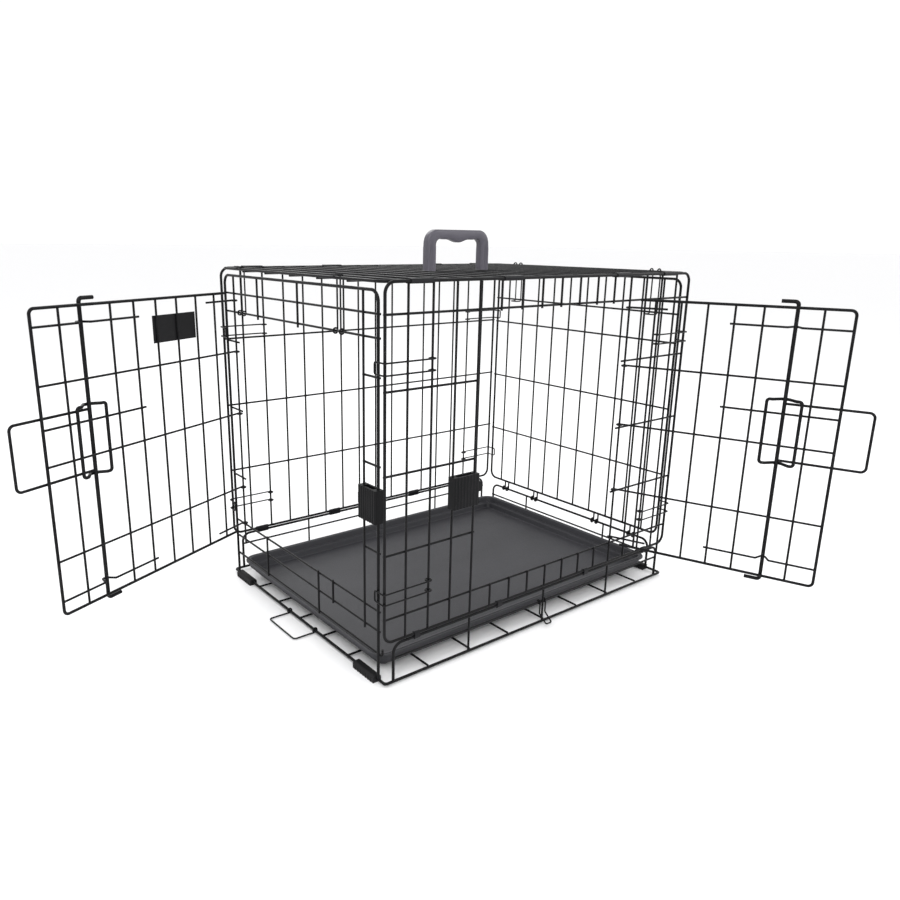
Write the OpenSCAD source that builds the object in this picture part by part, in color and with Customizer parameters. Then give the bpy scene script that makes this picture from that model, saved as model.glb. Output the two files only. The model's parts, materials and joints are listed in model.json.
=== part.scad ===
/* [Crate] */
// Distance between the two end panels
crate_l = 609.6; // [560:1:760]
// Distance between the front and back panels
crate_w = 457.2; // [420:1:560]
// Height of the top edge wires above the floor
crate_h = 533.4; // [510:1:650]

/* [Wire] */
// Diameter of the mesh wires
mesh_d = 3.2; // [2.6:0.1:3.4]
// Diameter of the panel edge wires
edge_d = 4.2; // [3.6:0.1:5]
// Diameter of the clip wires
clip_d = 2.4; // [2:0.1:3]
// Bend radius at a panel's corners
panel_bend = 14; // [8:1:24]

/* [Mesh] */
// Spaces between the upright wires of a long panel
long_spaces = 16; // [16:1:18]
// First and last space of a long panel
long_end_space = 34.4; // [30:0.1:40]
// Spaces between the upright wires of an end panel
short_spaces = 11; // [11:1:12]
// First and last space of an end panel
short_end_space = 32; // [28:0.1:40]
// Gap from a side panel's plane to an end panel's corner wire
end_inset = 13.6; // [11:0.1:20]
// Drop from the top edge to the top wire of an end panel
end_drop = 10.4; // [9:0.1:16]

/* [Rows] */
// Height of the front panel's bottom wire
front_foot_z = 64.5; // [62:0.5:72]
// Rise of the back panel's bottom wire over the front panel's
back_rise = 10; // [8:0.5:12]
// Height of the row under the door openings
sill_z = 97; // [90:1:104]
// Height of the row over the door openings
lintel_z = 495; // [492:1:500]
// Height of the end panels' clip row
clip_row_z = 466; // [460:1:470]
// Height of the end panels' bottom wire over the tray gap
tray_gap_z = 42; // [41:0.5:50]

/* [Doors] */
// Height of a door over its edge wires
door_h = 400; // [380:1:404]
// Height of a door's bottom wire
door_low_z = 96.5; // [95:0.5:100]
// Gap between a closed door and the latch-side wire
door_gap = 6; // [6:0.5:14]
// Bend radius at a door's corners
door_bend = 7; // [6:0.5:14]
// Standing angle of the front door, from closed
front_open = 110; // [0:1:150]
// Standing angle of the left door, from closed
left_open = 65; // [0:1:150]

/* [Latches] */
// Diameter of the latch rod
rod_d = 5.5; // [4.5:0.1:6]
// Diameter of the latch handle's wire
grip_d = 3.8; // [3:0.1:4.2]
// Height of the latch handle
grip_h = 84; // [70:1:100]
// Reach of the latch handle past the door's edge
grip_reach = 41; // [30:1:50]
// Diameter of the guide ring's wire
ring_d = 4.6; // [4:0.1:5]
// Width of the guide ring
ring_w = 46; // [40:1:52]
// Height of the guide ring
ring_h = 95; // [88:1:104]
// Height of the middle of the handle and ring
grip_z = 319; // [310:1:326]

/* [Clips] */
// Distance between the two legs of a clip
clip_gap = 15; // [12:1:18]
// Height of the low clips at the upright corners
clip_low_z = 130; // [124:1:140]
// Height of the high clips at the upright corners
clip_high_z = 431; // [428:1:440]

/* [Base] */
// Height of the floor's edge wire
floor_z = 5.5; // [5.5:0.5:9]
// Gap between a panel's bottom wire and the upstand's top wire under it
hinge_gap = 0.8; // [0.6:0.1:2]
// Height of the mesh row in the front and right upstands
upstand_row_z = 37; // [30:0.5:44]
// Height of the mesh row in the back upstand
back_row_z = 52.5; // [46:0.5:58]
// Length of a foot
foot_l = 50; // [30:1:60]
// Width of a foot
foot_w = 13; // [12:1:22]

/* [Tray] */
// Height of the tray's rim
tray_h = 23; // [18:0.5:24]
// Thickness of the tray
tray_t = 2.2; // [1.8:0.1:3]
// Width of the tray's stepped rim
tray_rim = 17; // [12:1:24]
// Corner radius of the tray
tray_r = 24; // [12:1:40]

/* [Handle] */
// Shift of each handle leg inwards from the middle of its mesh space
leg_in = 2.44; // [0:0.01:4]
// Height of the carry handle over its pivot wire
handle_h = 66; // [55:1:75]
// Thickness of the carry handle
handle_t = 15; // [12:0.5:20]
// Width of the handle's legs
leg_w = 17; // [14:0.5:22]

/* [Fits] */
// Running clearance round a pivot wire
run_gap = 0.1; // [0.05:0.01:0.1]
// Smallest clearance between loose parts
part_gap = 0.4; // [0.3:0.05:0.8]

/* [Hidden] */
$fn = 32;
wire_color = [0.08, 0.08, 0.09];
plastic_color = [0.16, 0.16, 0.17];
rubber_color = [0.11, 0.11, 0.12];
grip_color = [0.30, 0.29, 0.33];

half_l = crate_l / 2;
half_w = crate_w / 2;
end_half = half_w - end_inset;
// Crossing wires sink a little into each other where they are welded
mesh_layer = 0.85 * mesh_d;
edge_layer = 0.85 * (edge_d + mesh_d) / 2;

// Places of the upright wires, from one side of a panel to the other
function uprights(half, n, first) = concat([-half],
  [for (i = [0 : n - 2]) -half + first + i * (2 * half - 2 * first) / (n - 2)], [half]);
long_x = uprights(half_l, long_spaces, long_end_space);
short_x = uprights(end_half, short_spaces, short_end_space);

// The front door fills spaces 4 to 12, and the left door spaces 1 to 10
front_from = 4;
front_to = 12;
left_from = 1;
left_to = 10;
front_door_w = long_x[front_to] - long_x[front_from] - door_gap;
left_door_w = short_x[left_to] - short_x[left_from] - door_gap;
front_door_spaces = front_to - front_from;
left_door_spaces = left_to - left_from;

// A door's rows wrap round the hinge wire, and its uprights stand in front of them
door_row_y = mesh_d / 2 + part_gap + mesh_d / 2;
door_y = door_row_y + mesh_layer;
door_z0 = door_low_z;
door_z1 = door_z0 + door_h;
// Rows follow the door's bottom, its latch and its top
front_door_rows = [door_z0 + 95, grip_z - 18.5, door_z1 - 101.5];
front_door_short_rows = [door_z0 + 27.5, grip_z + 28.5, door_z1 - 27];
left_door_rows = [door_z0 + 76.5, grip_z - 18.5, door_z1 - 93.5];
left_door_short_rows = [door_z0 + 20.5, grip_z + 29, door_z1 - 22];
// The rows that hold a door's top and bottom wires on the hinge wire, from those wires
rail_row_in = 12;
rod_y = door_y + edge_d / 2 + part_gap + rod_d / 2;
rod_tip = 8;
rod_hook = 22;
// The rod stands this much nearer the free edge than its place in the mesh
rod_shift = 4;
bow_half = rod_d / 2 + part_gap;

// Panel rows beside a doorway pass just over or under the eyes of its door's rows
stub_rows = [front_door_rows[0] - 4, front_door_rows[1] - 6, front_door_rows[2] + 7];
back_rows = [192, 307, 419];
end_rows = [left_door_rows[0] + 15, left_door_rows[1] + 4.5, left_door_rows[2] + 15];
end_sill_z = 104.5;
end_low_z = 75.5;
row_over = 5;

// How a straight wire joins a bend: its share of the diameter, and how far it sinks in
thin = 0.98;
sink = 0.25;

// A clip's loops are loose round a mesh wire, and closer round the tray stop's edge wire
clip_eye = mesh_d / 2 + 1.3 + clip_d / 2;
snug_eye = mesh_d / 2 + 0.5 + clip_d / 2;
edge_eye = edge_d / 2 + run_gap + clip_d / 2;
clip_from = 2;
clip_hook_x = half_l + edge_d / 2 + part_gap + clip_d / 2;
clip_hook_y = end_inset + 3;
clip_bend = 3;
top_clip_x = [(short_x[8] + short_x[9]) / 2, (short_x[1] + short_x[2]) / 2];
// The upstands stand under the long panels, and the floor's edge wire just outside them
floor_y = half_w + 2.4;
floor_bend = 4.5;
upstand_end = 15;
upstand_z = front_foot_z - edge_d - hinge_gap;
end_hinge_in = 3.5;
end_hinge_x = half_l - end_hinge_in;
end_foot_z = upstand_z + 15;
top_half_w = half_w - 7.1;
hinge_len = 34;
sleeve_t = 1;
hinge_loops_y = [-165, -80, 80, 165];
pivot_z = crate_h - mesh_layer;
handle_w = long_x[9] + long_x[10] - 2 * leg_in + leg_w;

floor_weld_z = floor_z + edge_layer;
tray_z = floor_weld_z + mesh_d / 2 + part_gap + 0.2;
foot_h = tray_z - 0.5;
foot_round = 4;
end_hoop_half = end_half - 12;
foot_in = edge_d / 2 + 1 + foot_l / 2;
tray_x0 = 3 - half_l;
tray_x1 = end_hinge_x - mesh_layer - mesh_d / 2 - 1.5;
tray_half_w = end_half - edge_d / 2 - 1.9;
stop_y = [-47, 32];
stop_reach = 36;

strike_z = [231, 276];
strike_y = [-7.4, 5];
strike_wall = 1.4;
lug_len = 12;
lug_h = 14;
plate_x = [82, 166];
plate_z = [door_z1 - 62.5, door_z1 - 23.5];
plate_t = 1.2;

function unit(v) = v / norm(v);
function side_of(v) = abs(v.z) > 0.9 ? [1, 0, 0] : [0, 0, 1];

// Frame at p whose z runs along z and whose x lies along x
module at(p, x, z) {
  y = cross(z, x);
  multmatrix([[x.x, y.x, z.x, p.x], [x.y, y.y, z.y, p.y], [x.z, y.z, z.z, p.z], [0, 0, 0, 1]])
    children();
}

// Straight wire from p to q
module bar(p, q, d = mesh_d) {
  z = unit(q - p);
  x = unit(cross(side_of(z), z));
  at(p, x, z) cylinder(h = norm(q - p), d = d);
}

// Round bend of a wire that runs along a, then along b, about the corner p
module bend(p, a, b, r, d) {
  turn = acos(min(1, max(-1, a * b)));
  n = unit(b - a * (a * b));
  start = p - a * r * tan(turn / 2);
  at(start + n * r, -n, cross(a, n))
    rotate_extrude(angle = turn) translate([r, 0]) circle(d = d);
}

// Wire through the points, with a round bend at each one between the ends. Its straights are
// a hair thinner than its bends and sink into them, and into the eyes past open ends
module wire(points, d = mesh_d, r = 5, closed = false, eyes = false) {
  n = len(points);
  function p(i) = points[(i + n) % n];
  function along(i) = unit(p(i + 1) - p(i));
  function corner(i) = closed || (i > 0 && i < n - 1);
  function trim(i) = corner(i) ? r * tan(acos(min(1, max(-1, along(i - 1) * along(i)))) / 2) : 0;
  function short(i) = trim(i) > 0 || eyes ? trim(i) - sink : 0;
  for (i = [0 : closed ? n - 1 : n - 2])
    bar(p(i) + along(i) * short(i), p(i + 1) - along(i) * short((i + 1) % n), thin * d);
  for (i = [0 : n - 1])
    if (corner(i)) bend(p(i), along(i - 1), along(i), r, d);
}

// Open eye about p: it starts at p + r * from, as the end of a wire that leaves along away
module eye(p, from, away, r, d) {
  open = 2 * asin(min(1, (d + 0.6) / (2 * r)));
  at(p, from, cross(away, from)) rotate_extrude(angle = 360 - open) translate([r, 0]) circle(d = d);
}

// A panel stands with x along it, its uprights at y = 0 and its rows on its inner face
module on_front() { translate([0, -half_w, 0]) children(); }
module on_back() { translate([0, half_w, 0]) rotate([0, 0, 180]) children(); }
module on_left() { translate([-half_l, 0, 0]) rotate([0, 0, -90]) children(); }
module on_right() { translate([half_l, 0, 0]) rotate([0, 0, 90]) children(); }

module upright(x, z0, z1, d = mesh_d) { bar([x, 0, z0], [x, 0, z1], d); }
module row(x0, x1, z, d = mesh_d) { bar([x0, mesh_layer, z], [x1, mesh_layer, z], d); }
module edge(half, z0, z1) {
  wire([[-half, 0, z0], [half, 0, z0], [half, 0, z1], [-half, 0, z1]],
    edge_d, panel_bend, closed = true);
}

// ---- Panels ----

module front_panel() {
  color(wire_color) on_front() {
    edge(half_l, front_foot_z, crate_h);
    for (i = [1 : long_spaces - 1]) {
      if (i <= front_from || i >= front_to) upright(long_x[i], front_foot_z, crate_h);
      else {
        upright(long_x[i], front_foot_z, sill_z + mesh_d);
        upright(long_x[i], lintel_z - mesh_d, crate_h);
      }
    }
    row(-half_l, half_l, lintel_z);
    row(-half_l, half_l, sill_z);
    for (z = stub_rows) {
      row(-half_l, long_x[front_from] + row_over, z);
      row(long_x[front_to] - row_over, half_l, z);
    }
  }
}

module back_panel() {
  color(wire_color) on_back() {
    edge(half_l, front_foot_z + back_rise, crate_h);
    for (i = [1 : long_spaces - 1]) upright(long_x[i], front_foot_z + back_rise, crate_h);
    for (z = back_rows) row(-half_l, half_l, z);
  }
}

module left_end_panel() {
  low = floor_z + edge_d / 2 - sink;
  top = crate_h - end_drop;
  color(wire_color) on_left() {
    wire([[-end_half, 0, low], [-end_half, 0, top], [end_half, 0, top], [end_half, 0, low]],
      edge_d, panel_bend);
    for (i = [left_from, left_to]) upright(short_x[i], end_low_z - row_over, top);
    for (i = [3, 6]) upright(short_x[i], clip_row_z - row_over, top);
    row(-end_half, end_half, lintel_z);
    row(-end_half, end_half, clip_row_z);
    for (z = end_rows) {
      row(-end_half, short_x[left_from] + row_over, z);
      row(short_x[left_to] - row_over, end_half, z);
    }
    for (z = [end_sill_z, end_low_z, tray_gap_z]) row(-end_half, end_half, z);
    for (i = [3, 7]) upright(short_x[i], tray_gap_z - 2, end_sill_z + row_over);
    upright(short_x[8], end_low_z - 2, end_sill_z + row_over);
    // The lowest wire ends in a small upturned hook at each corner
    for (s = [-1, 1])
      wire([[s * (end_half - 6), mesh_layer, tray_gap_z],
        [s * (end_half + 6), mesh_layer, tray_gap_z],
        [s * (end_half + 6), mesh_layer, tray_gap_z + 10]], mesh_d, 3);
  }
}

module right_end_panel() {
  top = crate_h - end_drop;
  color(wire_color) on_right() {
    edge(end_half, end_foot_z, top);
    for (i = [1 : short_spaces - 1]) upright(short_x[i], end_foot_z, top);
    for (z = concat(end_rows, [clip_row_z])) row(-end_half, end_half, z);
  }
}

// Loops from the right end panel's bottom wire round the base's upstand
module right_end_hinges() {
  loop = edge_d / 2 + run_gap + mesh_d / 2;
  color(wire_color)
    for (y = hinge_loops_y, s = [-5, 5]) {
      eye([end_hinge_x, y + s, upstand_z], [1, 0, 0], [0, 0, 1], loop, mesh_d);
      bar([end_hinge_x + loop, y + s, upstand_z - sink], [end_hinge_x + loop, y + s, end_foot_z],
        thin * mesh_d);
    }
}

module top_panel() {
  rows = [-2, -1, 0, 1, 2];
  color(wire_color) translate([0, 0, crate_h]) {
    wire([[-half_l, -top_half_w, 0], [half_l, -top_half_w, 0],
      [half_l, top_half_w, 0], [-half_l, top_half_w, 0]], edge_d, panel_bend, closed = true);
    for (i = [1 : long_spaces - 1])
      bar([long_x[i], -top_half_w, 0], [long_x[i], top_half_w, 0]);
    for (k = rows)
      bar([-half_l, k * top_half_w / 3, -mesh_layer], [half_l, k * top_half_w / 3, -mesh_layer]);
  }
}

// ---- Base ----

// Upright hoop that stands on the floor's edge wire, as part of the base's upstand
module hoop(half, z1) {
  wire([[-half, 0, floor_z], [-half, 0, z1], [half, 0, z1], [half, 0, floor_z]],
    edge_d, panel_bend);
}

// Upstand under a long panel, whose row is on the side that s points away from
module long_upstand(s, z1, row_z) {
  color(wire_color) translate([0, s * half_w, 0]) {
    hoop(half_l - upstand_end, z1);
    for (i = [4, 8, 12]) upright(long_x[i], floor_z, z1);
    bar([upstand_end - half_l, -s * mesh_layer, row_z], [half_l - upstand_end, -s * mesh_layer, row_z]);
  }
}
module base_front_upstand() { long_upstand(-1, upstand_z, upstand_row_z); }
module base_back_upstand() { long_upstand(1, upstand_z + back_rise, back_row_z); }
module base_right_upstand() {
  color(wire_color) translate([end_hinge_x, 0, 0]) rotate([0, 0, 90]) {
    hoop(end_hoop_half, upstand_z);
    for (i = [3, 8]) upright(short_x[i], floor_z, upstand_z);
    row(-end_hoop_half, end_hoop_half, upstand_row_z);
  }
}

module base_floor() {
  long_rows = [-0.6, -0.3, 0, 0.3, 0.6];
  low = floor_weld_z - mesh_layer;
  color(wire_color) {
    wire([[-half_l, -floor_y, floor_z], [half_l, -floor_y, floor_z],
      [half_l, floor_y, floor_z], [-half_l, floor_y, floor_z]], edge_d, floor_bend, closed = true);
    for (i = [2 : 2 : long_spaces - 2])
      bar([long_x[i], -floor_y, floor_weld_z], [long_x[i], floor_y, floor_weld_z]);
    for (k = long_rows) bar([-half_l, k * floor_y, low], [half_l, k * floor_y, low]);
  }
}

// Rubber block with a rounded top round the floor's edge wire, and ribs across its sides
module foot(x, y) {
  rib_d = 1.6;
  wall_h = foot_h - foot_round;
  color(rubber_color) translate([x, y, 0]) difference() {
    union() {
      rotate([90, 0, 0]) linear_extrude(foot_l, center = true) {
        translate([-foot_w / 2, 0]) square([foot_w, wall_h]);
        translate([foot_round - foot_w / 2, 0]) square([foot_w - 2 * foot_round, foot_h]);
        for (s = [-1, 1]) translate([s * (foot_w / 2 - foot_round), wall_h]) circle(r = foot_round);
      }
      for (s = [-1, 1], k = [-3 : 3])
        translate([s * foot_w / 2, k * foot_l / 8, 0]) cylinder(h = wall_h, d = rib_d);
    }
    translate([0, -foot_l, floor_z]) rotate([-90, 0, 0])
      cylinder(h = 2 * foot_l, d = edge_d + run_gap);
  }
}
module left_front_foot() { foot(-half_l, foot_in - end_half); }
module left_back_foot() { foot(-half_l, end_half - foot_in); }
module right_front_foot() { foot(half_l, foot_in - end_hoop_half); }
module right_back_foot() { foot(half_l, end_hoop_half - foot_in); }

// Folded metal sleeve, centred on x, round two wires along X at the points a and b of the YZ plane
module sleeve(x, a, b, wire_r, length) {
  module around(r, l) {
    gap = norm(b - a);
    translate([x, a.x, a.y]) rotate([atan2(b.y - a.y, b.x - a.x), 0, 0]) {
      for (y = [0, gap]) translate([0, y, 0]) rotate([0, 90, 0])
        cylinder(h = l, r = r, center = true);
      translate([-l / 2, 0, -r]) cube([l, gap, 2 * r]);
    }
  }
  difference() {
    around(wire_r + run_gap + sleeve_t, length);
    around(wire_r + run_gap, length + 2);
  }
}

module top_hinges(s) {
  color(wire_color) for (i = [1, 5, 11, 14])
    sleeve((long_x[i] + long_x[i + 1]) / 2, [s * half_w, crate_h], [s * top_half_w, crate_h],
      edge_d / 2, hinge_len);
}
module top_front_hinges() { top_hinges(-1); }
module top_back_hinges() { top_hinges(1); }

module base_hinges(s, z, length) {
  color(wire_color) for (i = [1, 5, 10, 14])
    sleeve((long_x[i] + long_x[i + 1]) / 2, [s * half_w, z], [s * half_w, z - edge_d - hinge_gap],
      edge_d / 2, length);
}
module base_front_hinges() { base_hinges(-1, front_foot_z, 9); }
module base_back_hinges() { base_hinges(1, front_foot_z + back_rise, 22); }

// Keeper block on two neighbouring uprights of a panel, open at its top, with a stop lug
// towards the door. The upright at x0 is d0 thick, and the one at x1 is next to the door
module strike(x0, x1, d0 = mesh_d) {
  s = sign(x1 - x0);
  far = x1 + s * (mesh_d / 2 + strike_wall);
  near = x0 - s * (d0 / 2 + strike_wall + 0.4);
  height = strike_z[1] - strike_z[0];
  wall = 2.5;
  ribs = 8;
  rib_r = 1.7;
  color(plastic_color) translate([0, 0, strike_z[0]]) difference() {
    union() {
      translate([min(near, far), strike_y[0], 0])
        cube([abs(far - near), strike_y[1] - strike_y[0], height]);
      for (k = [0 : ribs - 1])
        translate([near + (far - near) * (k + 0.5) / ribs, strike_y[0] + 1, 0])
          cylinder(h = height, r = rib_r);
      translate([min(far - s, far + s * lug_len), 0, (height - lug_h) / 2])
        cube([lug_len + 1, strike_y[1], lug_h]);
    }
    translate([x0, 0, -1]) cylinder(h = height + 2, d = d0 + 2 * run_gap);
    translate([x1, 0, -1]) cylinder(h = height + 2, d = mesh_d + 2 * run_gap);
    translate([min(x0, x1) + 2 * wall, strike_y[0] + wall, 2 * wall])
      cube([abs(x1 - x0) - 4 * wall, strike_y[1] - strike_y[0] - 2 * wall, height]);
  }
}
module front_strike() { on_front() strike(long_x[front_from - 1], long_x[front_from]); }
module left_strike() { on_left() strike(short_x[left_to + 1], short_x[left_to], edge_d); }

// ---- Doors ----

// A closed door's hinge axis is z, it runs along -x, and its outer face looks along -y
module on_front_door() {
  translate([long_x[front_to], -half_w, 0]) rotate([0, 0, front_open]) children();
}
module on_left_door() {
  translate([-half_l, -short_x[left_from], 0]) rotate([0, 0, -90 - left_open])
    mirror([1, 0, 0]) children();
}

// Place of the latch rod, from the hinge
function rod_at(w, spaces) = (spaces - 2) * w / spaces + rod_shift;

module door(w, spaces, rows, short_rows) {
  pitch = w / spaces;
  rod_x = rod_at(w, spaces);
  rail_rows = [door_z0 + rail_row_in, door_z1 - rail_row_in];
  color(wire_color) {
    wire([[-0.4 * pitch, -door_y, door_z1], [-w, -door_y, door_z1],
      [-w, -door_y, door_z0], [-0.4 * pitch, -door_y, door_z0]], edge_d, door_bend);
    for (i = [1 : spaces - 1]) if (i != spaces - 2)
      bar([-i * pitch, -door_y, door_z0], [-i * pitch, -door_y, door_z1]);
    // The rows end in eyes round the hinge wire
    for (z = concat(rows, rail_rows)) {
      last = z == rail_rows[0] || z == rail_rows[1] ? 1.5 * pitch : w;
      bar([-last, -door_row_y, z], [sink, -door_row_y, z], thin * mesh_d);
      eye([0, 0, z], [0, -1, 0], [-1, 0, 0], door_row_y, mesh_d);
    }
    // Short rows at the latch side: the top and bottom ones bow out round the rod
    end_x = (spaces - 4) * pitch - row_over;
    bow_y = rod_y + rod_d / 2 + part_gap + mesh_d / 2;
    ramp = 6;
    for (z = short_rows)
      if (z == short_rows[1]) bar([-w, -door_row_y, z], [-end_x, -door_row_y, z]);
      else wire([[-w, -door_row_y, z], [-rod_x - bow_half - ramp, -door_row_y, z],
        [-rod_x - bow_half, -bow_y, z], [-rod_x + bow_half, -bow_y, z],
        [-rod_x + bow_half + ramp, -door_row_y, z], [-end_x, -door_row_y, z]], mesh_d, 2.4);
  }
}

// Upright latch rod, whose two ends turn towards the hinge over and under the door
module latch_rod(w, spaces) {
  x = -rod_at(w, spaces);
  color(wire_color)
    wire([[x + rod_hook, -rod_y, door_z1 + rod_tip], [x, -rod_y, door_z1 + rod_tip],
      [x, -rod_y, door_z0 - rod_tip], [x + rod_hook, -rod_y, door_z0 - rod_tip]], rod_d, 5);
}

// U-shaped wire welded to the rod, which reaches past the door's free edge
module latch_handle(w, spaces) {
  x = -rod_at(w, spaces) - rod_d / 2 + 0.4;
  far = -w - grip_reach;
  color(wire_color)
    wire([[x, -rod_y, grip_z + grip_h / 2], [far, -rod_y, grip_z + grip_h / 2],
      [far, -rod_y, grip_z - grip_h / 2], [x, -rod_y, grip_z - grip_h / 2]], grip_d, 7);
}

// Rectangular wire ring welded to the door's rows, whose short sides bow round the rod
module latch_guide(w, spaces) {
  x = -rod_at(w, spaces);
  side_y = -door_row_y - 0.8 * (mesh_d + ring_d) / 2;
  bow_y = -rod_y - rod_d / 2 - part_gap - ring_d / 2;
  bow = rod_d / 2 + 2;
  run = ring_w / 2 - 7;
  function over(z, s) = [[x - s * ring_w / 2, side_y, z], [x - s * run, side_y, z],
    [x - s * bow, bow_y, z], [x + s * bow, bow_y, z], [x + s * run, side_y, z],
    [x + s * ring_w / 2, side_y, z]];
  color(wire_color)
    wire(concat(over(grip_z + ring_h / 2, 1), over(grip_z - ring_h / 2, -1)), ring_d, 4, closed = true);
}

module front_door() {
  on_front_door() door(front_door_w, front_door_spaces, front_door_rows, front_door_short_rows);
}
module front_latch_rod() { on_front_door() latch_rod(front_door_w, front_door_spaces); }
module front_latch_handle() { on_front_door() latch_handle(front_door_w, front_door_spaces); }
module front_latch_guide() { on_front_door() latch_guide(front_door_w, front_door_spaces); }
module left_door() {
  on_left_door() door(left_door_w, left_door_spaces, left_door_rows, left_door_short_rows);
}
module left_latch_rod() { on_left_door() latch_rod(left_door_w, left_door_spaces); }
module left_latch_handle() { on_left_door() latch_handle(left_door_w, left_door_spaces); }
module left_latch_guide() { on_left_door() latch_guide(left_door_w, left_door_spaces); }

module left_door_plate() {
  color(plastic_color) on_left_door()
    translate([-plate_x[1], -door_y - mesh_d / 2 - plate_t + 0.2, plate_z[0]])
      cube([plate_x[1] - plate_x[0], plate_t, plate_z[1] - plate_z[0]]);
}

// ---- Clips ----

// Hairpin of wire through points given for its upper leg, mirrored for its lower leg
module hairpin(points, up) {
  n = len(points);
  wire(concat([for (i = [0 : n - 1]) points[i] + up * clip_gap / 2],
    [for (i = [n - 1 : -1 : 0]) points[i] - up * clip_gap / 2]), clip_d, clip_bend, eyes = true);
}

// Clip on an upright of a long panel, which hooks round the end panel's corner wire
module corner_clip(s, z) {
  e = s * -long_x[clip_from];
  color(wire_color) {
    hairpin([[e, -clip_eye, z], [s * clip_hook_x, -clip_eye, z], [s * clip_hook_x, clip_hook_y, z]],
      [0, 0, 1]);
    for (k = [-1, 1]) eye([e, 0, z + k * clip_gap / 2], [0, -1, 0], [s, 0, 0], clip_eye, clip_d);
  }
}
module front_left_low_clip() { on_front() corner_clip(-1, clip_low_z); }
module front_left_high_clip() { on_front() corner_clip(-1, clip_high_z); }
module front_right_low_clip() { on_front() corner_clip(1, clip_low_z); }
module front_right_high_clip() { on_front() corner_clip(1, clip_high_z); }
module back_left_low_clip() { on_back() corner_clip(1, clip_low_z); }
module back_left_high_clip() { on_back() corner_clip(1, clip_high_z); }
module back_right_low_clip() { on_back() corner_clip(-1, clip_low_z); }
module back_right_high_clip() { on_back() corner_clip(-1, clip_high_z); }

// Clip on the left panel's clip row, which hooks over the top panel's end wire
module left_top_clip(x) {
  top = crate_h + edge_d / 2 + part_gap + clip_d / 2;
  y = mesh_layer + snug_eye;
  color(wire_color) on_left() {
    hairpin([[x, y, clip_row_z], [x, y, top], [x, -3.5, top]], [1, 0, 0]);
    for (k = [-1, 1])
      eye([x + k * clip_gap / 2, mesh_layer, clip_row_z], [0, 1, 0], [0, 0, 1], snug_eye, clip_d);
  }
}

// Clip on the top panel's end wire, which hooks under the right panel's clip row
module right_top_clip(x) {
  low = clip_row_z - mesh_d / 2 - part_gap - clip_d / 2 - 0.6;
  y = -edge_d / 2 - 1.3 - clip_d / 2;
  color(wire_color) on_right() {
    hairpin([[x, y, crate_h], [x, y, low], [x, 8, low]], [1, 0, 0]);
    for (k = [-1, 1])
      eye([x + k * clip_gap / 2, 0, crate_h], [0, -1, 0], [0, 0, -1], -y, clip_d);
  }
}
module left_top_front_clip() { left_top_clip(top_clip_x[0]); }
module left_top_back_clip() { left_top_clip(top_clip_x[1]); }
module right_top_front_clip() { right_top_clip(top_clip_x[1]); }
module right_top_back_clip() { right_top_clip(-top_clip_x[1]); }

// ---- Small wire catches ----

// Tray stop, lowered: it swings up about the floor's end wire and closes the tray gap
module tray_stop() {
  z = floor_z - edge_eye;
  far = -half_l - stop_reach;
  color(wire_color) {
    wire([[-half_l, stop_y[0], z], [far, stop_y[0], z], [far, stop_y[1], z],
      [-half_l, stop_y[1], z]], clip_d, 5, eyes = true);
    for (y = stop_y) eye([-half_l, y, floor_z], [0, 0, -1], [-1, 0, 0], edge_eye, clip_d);
  }
}

// Hook on the front upstand's row that holds the crate shut once it is folded
module fold_hook() {
  row_y = mesh_layer - half_w;
  r = mesh_d / 2 + run_gap + clip_d / 2;
  y = row_y - r;
  half = 6;
  knee = [y, 18];
  tip = [y - 15, 6];
  color(wire_color) {
    wire([[-half, y, upstand_row_z], [-half, knee.x, knee.y], [-half, tip.x, tip.y],
      [half, tip.x, tip.y], [half, knee.x, knee.y], [half, y, upstand_row_z]],
      clip_d, 2.5, eyes = true);
    for (x = [-half, half]) eye([x, row_y, upstand_row_z], [0, -1, 0], [0, 0, -1], r, clip_d);
  }
}

// ---- Tray ----

// Slab of the tray's outline, drawn in by the inset, from z0 to z1
module tray_slab(inset, z0, z1) {
  r = max(tray_r - inset, 2);
  a = [tray_x0 + inset, -tray_half_w + inset];
  b = [tray_x1 - inset, tray_half_w - inset];
  translate([0, 0, z0]) linear_extrude(z1 - z0) {
    translate(a + [r, 0]) square(b - a - [2 * r, 0]);
    translate(a + [0, r]) square(b - a - [0, 2 * r]);
    for (x = [a.x + r, b.x - r], y = [a.y + r, b.y - r]) translate([x, y]) circle(r = r, $fn = 48);
  }
}

module tray() {
  step_z = tray_z + 0.55 * tray_h;
  top_z = tray_z + tray_h;
  mid = tray_rim / 2;
  color(plastic_color) difference() {
    union() {
      tray_slab(tray_rim - tray_t, tray_z, step_z);
      tray_slab(mid - tray_t, step_z - tray_t, top_z);
      tray_slab(0, top_z - tray_t, top_z);
    }
    tray_slab(tray_rim, tray_z + tray_t, top_z);
    tray_slab(mid, step_z, top_z + 1);
  }
}

// ---- Carry handle ----

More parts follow.
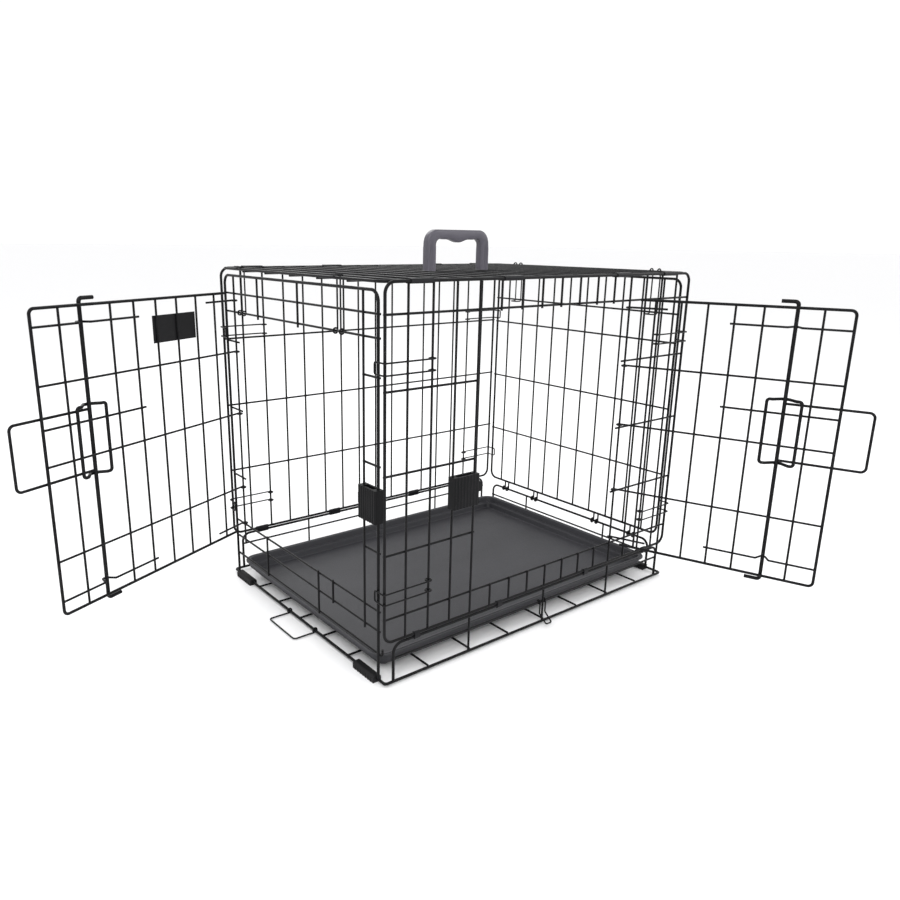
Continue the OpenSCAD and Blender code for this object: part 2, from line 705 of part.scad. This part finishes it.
module carry_handle() {
  boss_r = 5;
  inner = handle_w - 2 * leg_w;
  peak_z = handle_h - 19;
  module arch(w, z0, z1, r) {
    translate([-w / 2, z0]) square([w, z1 - z0 - r]);
    translate([-w / 2 + r, z1 - r - 1]) square([w - 2 * r, r + 1]);
    for (s = [-1, 1]) translate([s * (w / 2 - r), z1 - r]) circle(r = r, $fn = 64);
  }
  color(grip_color) translate([0, 0, pivot_z]) difference() {
    union() {
      rotate([90, 0, 0]) linear_extrude(handle_t, center = true) difference() {
        arch(handle_w, boss_r - 2, handle_h, 20);
        arch(inner, -boss_r, peak_z, 8);
        // Finger grooves under the grip, on both sides of a blunt peak in its middle
        for (s = [-1, 1]) {
          translate([s * 20, peak_z - 10]) circle(r = 15, $fn = 64);
          translate([s * 36, peak_z - 6]) circle(r = 11, $fn = 64);
        }
      }
      for (s = [-1, 1])
        translate([s * (handle_w - leg_w) / 2, 0, 0]) rotate([0, 90, 0])
          cylinder(h = leg_w, r = boss_r, center = true);
    }
    rotate([0, 90, 0]) cylinder(h = handle_w + 2, d = mesh_d + 2 * run_gap, center = true);
  }
}

base_floor();
base_front_upstand();
base_back_upstand();
base_right_upstand();
left_front_foot();
left_back_foot();
right_front_foot();
right_back_foot();
front_panel();
back_panel();
left_end_panel();
top_panel();
top_front_hinges();
top_back_hinges();
base_front_hinges();
base_back_hinges();
front_strike();
left_strike();
right_end_panel();
right_end_hinges();
front_door();
front_latch_rod();
front_latch_handle();
front_latch_guide();
left_door();
left_latch_rod();
left_latch_handle();
left_latch_guide();
left_door_plate();
carry_handle();
tray();
tray_stop();
fold_hook();
front_left_low_clip();
front_left_high_clip();
front_right_low_clip();
front_right_high_clip();
back_left_low_clip();
back_left_high_clip();
back_right_low_clip();
back_right_high_clip();
left_top_front_clip();
left_top_back_clip();
right_top_front_clip();
right_top_back_clip();
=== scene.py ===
import json
import math

import bmesh
import bpy
from mathutils import Matrix, Vector


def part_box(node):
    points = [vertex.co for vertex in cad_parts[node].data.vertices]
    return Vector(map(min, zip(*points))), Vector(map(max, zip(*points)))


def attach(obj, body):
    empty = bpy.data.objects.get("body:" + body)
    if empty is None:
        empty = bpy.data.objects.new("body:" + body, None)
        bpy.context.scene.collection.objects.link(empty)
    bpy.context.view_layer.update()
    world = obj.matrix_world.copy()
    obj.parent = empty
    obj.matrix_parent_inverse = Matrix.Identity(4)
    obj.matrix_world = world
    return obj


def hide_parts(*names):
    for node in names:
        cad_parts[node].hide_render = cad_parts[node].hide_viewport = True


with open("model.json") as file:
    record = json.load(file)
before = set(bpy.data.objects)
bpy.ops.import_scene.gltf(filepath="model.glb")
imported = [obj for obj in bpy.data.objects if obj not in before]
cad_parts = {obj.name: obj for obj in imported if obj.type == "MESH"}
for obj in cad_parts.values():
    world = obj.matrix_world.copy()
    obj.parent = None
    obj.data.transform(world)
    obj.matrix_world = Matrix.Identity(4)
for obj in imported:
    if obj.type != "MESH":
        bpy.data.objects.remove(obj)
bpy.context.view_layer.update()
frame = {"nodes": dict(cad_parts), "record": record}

MM = 0.001
# Most of a noise texture's values lie between these two
NOISE_MIDDLE = (0.3, 0.7)


# ---- Materials ----

def new_material(name, color, roughness, specular):
    """A Principled material whose uniform values sit on the shader's own sockets."""
    mat = bpy.data.materials.new(name)
    mat.use_nodes = True
    shader = mat.node_tree.nodes["Principled BSDF"]
    shader.inputs["Base Color"].default_value = (*color, 1)
    shader.inputs["Roughness"].default_value = roughness
    shader.inputs["Specular IOR Level"].default_value = specular
    return mat, shader


def node(mat, kind, **values):
    """A shader node with some of its sockets or settings filled in."""
    made = mat.node_tree.nodes.new(kind)
    for name, value in values.items():
        if name in made.inputs:
            made.inputs[name].default_value = value
        else:
            setattr(made, name, value)
    return made


def noise(mat, scale, detail, roughness=0.5, stretch=(1, 1, 1)):
    """Noise in the object's own metres, stretched along its axes."""
    place = node(mat, "ShaderNodeTexCoord")
    mapping = node(mat, "ShaderNodeMapping", Scale=stretch)
    tex = node(mat, "ShaderNodeTexNoise", Scale=scale, Detail=detail, Roughness=roughness)
    links = mat.node_tree.links
    links.new(place.outputs["Object"], mapping.inputs["Vector"])
    links.new(mapping.outputs["Vector"], tex.inputs["Vector"])
    return tex.outputs["Fac"]


def ramp(mat, fac, low, high):
    """Colour ramp from low to high over the noise's middle."""
    made = node(mat, "ShaderNodeValToRGB")
    stops = made.color_ramp.elements
    stops[0].position, stops[1].position = NOISE_MIDDLE
    stops[0].color, stops[1].color = (*low, 1), (*high, 1)
    mat.node_tree.links.new(fac, made.inputs["Fac"])
    return made.outputs["Color"]


def spread(mat, fac, low, high):
    """Number that runs from low to high with the noise."""
    made = node(mat, "ShaderNodeMapRange")
    sockets = ("From Min", "From Max", "To Min", "To Max")
    for name, value in zip(sockets, (*NOISE_MIDDLE, low, high)):
        made.inputs[name].default_value = value
    mat.node_tree.links.new(fac, made.inputs["Value"])
    return made.outputs["Result"]


def bump(mat, shader, layers):
    """Bumps laid over one another: each layer is a height, its strength and its depth in metres."""
    links = mat.node_tree.links
    below = None
    for height, strength, depth in layers:
        made = node(mat, "ShaderNodeBump", Strength=strength, Distance=depth)
        links.new(height, made.inputs["Height"])
        if below:
            links.new(below, made.inputs["Normal"])
        below = made.outputs["Normal"]
    links.new(below, shader.inputs["Normal"])


def coated_wire():
    """Black coat on steel wire: satin, with a faint orange peel and dull patches."""
    mat, shader = new_material("wire_black", (0.006, 0.006, 0.007), 0.3, specular=0.1)
    cloud = noise(mat, 38, 3)
    peel = noise(mat, 900, 2)
    links = mat.node_tree.links
    links.new(ramp(mat, cloud, (0.004, 0.004, 0.0045), (0.010, 0.010, 0.011)),
              shader.inputs["Base Color"])
    links.new(spread(mat, cloud, 0.26, 0.42), shader.inputs["Roughness"])
    bump(mat, shader, [(peel, 0.22, 0.15 * MM)])
    return mat


def coated_strip():
    """The same coat on folded steel strip, with rolling lines along its length."""
    mat, shader = new_material("sleeve_steel", (0.008, 0.008, 0.009), 0.34, specular=0.12)
    lines = noise(mat, 260, 3, stretch=(0.06, 1, 1))
    links = mat.node_tree.links
    links.new(ramp(mat, lines, (0.005, 0.005, 0.006), (0.014, 0.014, 0.016)),
              shader.inputs["Base Color"])
    links.new(spread(mat, lines, 0.28, 0.46), shader.inputs["Roughness"])
    bump(mat, shader, [(lines, 0.25, 0.1 * MM)])
    return mat


def moulded(name, low, high, rough, grain_scale, grain_depth, flow=(1, 1, 1), specular=0.45):
    """Moulded plastic or rubber: soft flow marks in its colour over an etched grain."""
    mat, shader = new_material(name, high, sum(rough) / 2, specular=specular)
    marks = noise(mat, 9, 5, 0.6, flow)
    grain = noise(mat, grain_scale, 2)
    links = mat.node_tree.links
    links.new(ramp(mat, marks, low, high), shader.inputs["Base Color"])
    links.new(spread(mat, grain, *rough), shader.inputs["Roughness"])
    bump(mat, shader, [(marks, 0.15, 0.6 * MM), (grain, 0.35, grain_depth)])
    return mat


MATERIALS = {
    "wire_black": coated_wire(),
    "sleeve_steel": coated_strip(),
    "keeper_plastic": moulded("keeper_plastic", (0.006, 0.006, 0.0065), (0.013, 0.013, 0.014),
                              (0.36, 0.5), 1400, 0.1 * MM, specular=0.08),
    "foot_rubber": moulded("foot_rubber", (0.007, 0.007, 0.0075), (0.014, 0.014, 0.015),
                           (0.55, 0.75), 1100, 0.15 * MM, specular=0.2),
    "tray_plastic": moulded("tray_plastic", (0.025, 0.025, 0.029), (0.034, 0.034, 0.039),
                            (0.42, 0.58), 1500, 0.08 * MM, (0.5, 1, 1), specular=0.3),
    "grip_plastic": moulded("grip_plastic", (0.058, 0.054, 0.069), (0.082, 0.077, 0.096),
                            (0.36, 0.5), 1300, 0.08 * MM),
    "plate_plastic": moulded("plate_plastic", (0.005, 0.005, 0.0055), (0.010, 0.010, 0.011),
                             (0.4, 0.52), 1500, 0.06 * MM, specular=0.15),
}
SLOTS = {part["node"]: part["material_slot"] for part in frame["record"]["subparts"]}
for name, cad in frame["nodes"].items():
    cad.data.materials.clear()
    cad.data.materials.append(MATERIALS[SLOTS[name]])


# ---- Pieces ----

def piece(name, mesh, body, stands_for, smooth_angle):
    """Puts a finished mesh in the scene as the piece that stands for its CAD nodes."""
    bmesh.ops.recalc_face_normals(mesh, faces=mesh.faces)
    data = bpy.data.meshes.new(name)
    mesh.to_mesh(data)
    mesh.free()
    obj = bpy.data.objects.new(name, data)
    bpy.context.scene.collection.objects.link(obj)
    data.shade_smooth()
    data.set_sharp_from_angle(angle=math.radians(smooth_angle))
    slot_name = SLOTS[stands_for[0]]
    data.materials.append(MATERIALS[slot_name])
    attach(obj, body)
    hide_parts(*stands_for)
    return obj


def loft(mesh, rings, closed):
    """Skin over rings of equal length; closed also joins the last ring to the first."""
    made = [[mesh.verts.new(p) for p in ring] for ring in rings]
    pairs = list(zip(made, made[1:]))
    if closed:
        pairs.append((made[-1], made[0]))
    for a, b in pairs:
        for i in range(len(a)):
            j = (i + 1) % len(a)
            mesh.faces.new((a[i], a[j], b[j], b[i]))
    return made


def carry_handle():
    """Moulded grip: a loft along its arch, with fluted legs and a grip with finger waves."""
    low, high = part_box("carry_handle")
    half_w = (high.x - low.x) / 2
    half_t = (high.y - low.y) / 2
    boss = 5 * MM
    pivot = low.z + boss
    top = high.z
    leg, roof = 17 * MM, 14 * MM
    shoulder, inner_r = 20 * MM, 10 * MM
    edge_share, foot_share = 0.58, 0.86
    base = pivot - boss

    def rounded(half, ceiling, r, t):
        """Point of an arch, t from 0 at the left foot to 1 at the right foot."""
        legs = ceiling - r - base
        if t > 0.5:
            x, z = rounded(half, ceiling, r, 1 - t)
            return -x, z
        u = t / 0.5
        leg_end, arc_end = 0.5, 0.72
        if u < leg_end:
            return -half, base + legs * u / leg_end
        if u < arc_end:
            a = (u - leg_end) / (arc_end - leg_end) * math.pi / 2
            return -half + r - r * math.cos(a), ceiling - r + r * math.sin(a)
        return (-half + r) * (1 - (u - arc_end) / (1 - arc_end)), ceiling

    def wave(x):
        """Underside of the grip: a blunt peak in the middle and a faint wave on each side."""
        across = abs(x) / (half_w - leg)
        peak = 5.5 * MM * math.exp(-(across / 0.3) ** 2)
        side = 0.9 * MM * math.exp(-((across - 0.6) / 0.12) ** 2)
        return peak + side

    # Thickness across a section, from the inner edge to the outer one: a bead, a flute, a rim
    section = [(0.0, 0.62), (0.03, 0.8), (0.09, 0.93), (0.18, 1.0), (0.34, 1.0), (0.42, 0.95),
               (0.48, 0.8), (0.56, 0.72), (0.66, 0.72), (0.74, 0.8), (0.8, 0.95), (0.86, 1.0),
               (0.93, 0.98), (0.98, 0.88), (1.0, 0.66)]
    rings = []
    stations = 140
    for i in range(stations + 1):
        t = i / stations
        ox, oz = rounded(half_w, top, shoulder, t)
        ix, iz = rounded(half_w - leg, top - roof, inner_r, t)
        if abs(ix) < half_w - leg - 1 * MM:
            iz -= wave(ix)
        # The flute fades out over the crown, where the section is a plain rounded bar
        crown = min(1, max(0, (iz - (top - roof - inner_r - 8 * MM)) / (12 * MM)))
        foot = min(1, max(0, (oz - base) / (9 * MM)))
        ring = []
        for side in (1, -1):
            for u, v in (section if side > 0 else reversed(section)):
                # On the crown the section is a bar with soft edges, and each leg narrows at its foot
                bar = edge_share + (1 - edge_share) * math.sqrt(max(0, 1 - abs(2 * u - 1) ** 2.6))
                v = v + (bar - v) * crown
                v *= foot_share + (1 - foot_share) * foot
                ring.append((ix + (ox - ix) * u, side * v * half_t, iz + (oz - iz) * u))
        rings.append(ring)
    mesh = bmesh.new()
    made = loft(mesh, rings, closed=False)
    for ring in (made[0], made[-1]):
        mesh.faces.new(ring)
    return piece("grip", mesh, "carry_handle", ["carry_handle"], 50)


def tray():
    """Vacuum-formed tray: a stepped rim with beads along it, ribbed corners and a flat floor."""
    low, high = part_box("tray")
    corner = 24 * MM
    rim, step, sheet = 17, 12.65, 2.2
    height = (high.z - low.z) / MM
    # Inset from the outer edge and height over the underside, in mm, over the top and back below
    over = [(0, height - sheet), (0, height - 0.9), (0.35, height - 0.25), (1, height), (2.6, height),
            (3.1, height - 0.8), (4.4, height - 0.8), (4.9, height), (7.2, height),
            (8, height - 0.3), (8.4, height - 1), (8.7, step + 1.2), (9.1, step + 0.3),
            (9.8, step), (11.2, step), (11.7, step - 0.8), (13, step - 0.8), (13.5, step),
            (15.9, step), (16.7, step - 0.3), (17.1, step - 1), (17.6, sheet + 1.6),
            (18.2, sheet + 0.5), (19.4, sheet), (24, sheet)]
    under = [(24, 0), (rim - sheet + 0.8, 0), (rim - sheet, 0.8), (rim - sheet, step - sheet),
             (rim / 2 - sheet, step - sheet), (rim / 2 - sheet, height - sheet)]
    # The step between these insets rises in short ribs round each corner
    ribbed = (9.8, 15.9)
    rib_h, corner_waves = 1.3, 7
    around = []
    straight = 12
    turn = 30
    centres = [(high.x - corner, high.y - corner, 0), (low.x + corner, high.y - corner, 1),
               (low.x + corner, low.y + corner, 2), (high.x - corner, low.y + corner, 3)]
    for cx, cy, quarter in centres:
        for i in range(turn + 1):
            a = math.radians(90 * (quarter + i / turn))
            around.append((cx, cy, math.cos(a), math.sin(a), i / turn))
    full = []
    for i, here in enumerate(around):
        full.append(here)
        after = around[(i + 1) % len(around)]
        if (i + 1) % (turn + 1) == 0:
            for k in range(1, straight):
                f = k / straight
                full.append((here[0] + (after[0] - here[0]) * f, here[1] + (after[1] - here[1]) * f,
                             here[2], here[3], 0))
    rings = []
    for cx, cy, nx, ny, along in full:
        rib = 0
        if 0 < along < 1:
            waves = max(0, math.sin(along * math.pi * corner_waves)) ** 2
            rib = rib_h * waves * math.sin(along * math.pi) ** 0.5
        ring = []
        for k, (inset, z) in enumerate(over + under):
            if k < len(over) and ribbed[0] <= inset <= ribbed[1]:
                z += rib
            r = corner - inset * MM
            ring.append((cx + nx * r, cy + ny * r, low.z + z * MM))
        rings.append(ring)
    mesh = bmesh.new()
    made = loft(mesh, rings, closed=True)
    inner_top, inner_under = len(over) - 1, len(over)
    # The ring's own closing face between the two floor edges is replaced by the floor itself
    for a, b in zip(made, made[1:] + made[:1]):
        for face in list(a[inner_top].link_faces):
            if a[inner_under] in face.verts and b[inner_top] in face.verts:
                mesh.faces.remove(face)
                break
    mesh.faces.new([ring[inner_top] for ring in made])
    mesh.faces.new([ring[inner_under] for ring in reversed(made)])
    return piece("pan", mesh, "tray", ["tray"], 40)


carry_handle()
tray()


# ---- Stage ----

def area_light(name, place, aim, size, power):
    data = bpy.data.lights.new(name, "AREA")
    data.shape = "DISK"
    data.size = size
    data.energy = power
    obj = bpy.data.objects.new(name, data)
    obj.location = place
    obj.rotation_euler = (Vector(aim) - Vector(place)).to_track_quat("-Z", "Y").to_euler()
    bpy.context.scene.collection.objects.link(obj)


def floor():
    data = bpy.data.meshes.new("floor")
    span = 60
    data.from_pydata([(-span, -span, 0), (span, -span, 0), (span, span, 0), (-span, span, 0)],
                     [], [(0, 1, 2, 3)])
    obj = bpy.data.objects.new("floor", data)
    bpy.context.scene.collection.objects.link(obj)
    mat, shader = new_material("floor", (0.94, 0.94, 0.945), 0.75, specular=0.2)
    grain = noise(mat, 30, 2)
    mat.node_tree.links.new(ramp(mat, grain, (0.93, 0.93, 0.94), (0.945, 0.945, 0.95)),
                            shader.inputs["Base Color"])
    data.materials.append(mat)


def camera():
    """Camera at a corner of the crate, a little above its top."""
    azimuth, elevation, roll = (math.radians(a) for a in (37.65, 15.42, 0.69))
    along = Vector((math.sin(azimuth) * math.cos(elevation),
                    math.cos(azimuth) * math.cos(elevation), -math.sin(elevation)))
    right = Vector((math.cos(azimuth), -math.sin(azimuth), 0))
    up = right.cross(along)
    right_rolled = right * math.cos(roll) + up * math.sin(roll)
    up_rolled = up * math.cos(roll) - right * math.sin(roll)
    data = bpy.data.cameras.new("camera")
    data.lens = 30.5
    data.sensor_width = 36
    data.shift_x = 0.0426
    obj = bpy.data.objects.new("camera", data)
    turn = Matrix((right_rolled, up_rolled, -along)).transposed()
    obj.matrix_world = Matrix.Translation((-0.8301, -0.9638, 0.5807)) @ turn.to_4x4()
    bpy.context.scene.collection.objects.link(obj)
    bpy.context.scene.camera = obj


def surroundings():
    world = bpy.data.worlds.new("studio")
    bpy.context.scene.world = world
    world.use_nodes = True
    background = world.node_tree.nodes["Background"]
    background.inputs["Color"].default_value = (1.0, 1.0, 1.0, 1)
    background.inputs["Strength"].default_value = 1.05


floor()
camera()
surroundings()
area_light("key", (-1.6, -1.8, 2.6), (0, 0, 0.2), 1.6, 46)
area_light("fill", (2.2, -1.6, 1.6), (0, 0, 0.25), 1.8, 16)
area_light("back", (0.6, 2.4, 2.4), (0, 0, 0.3), 1.6, 24)
bpy.context.scene.view_settings.view_transform = "Standard"
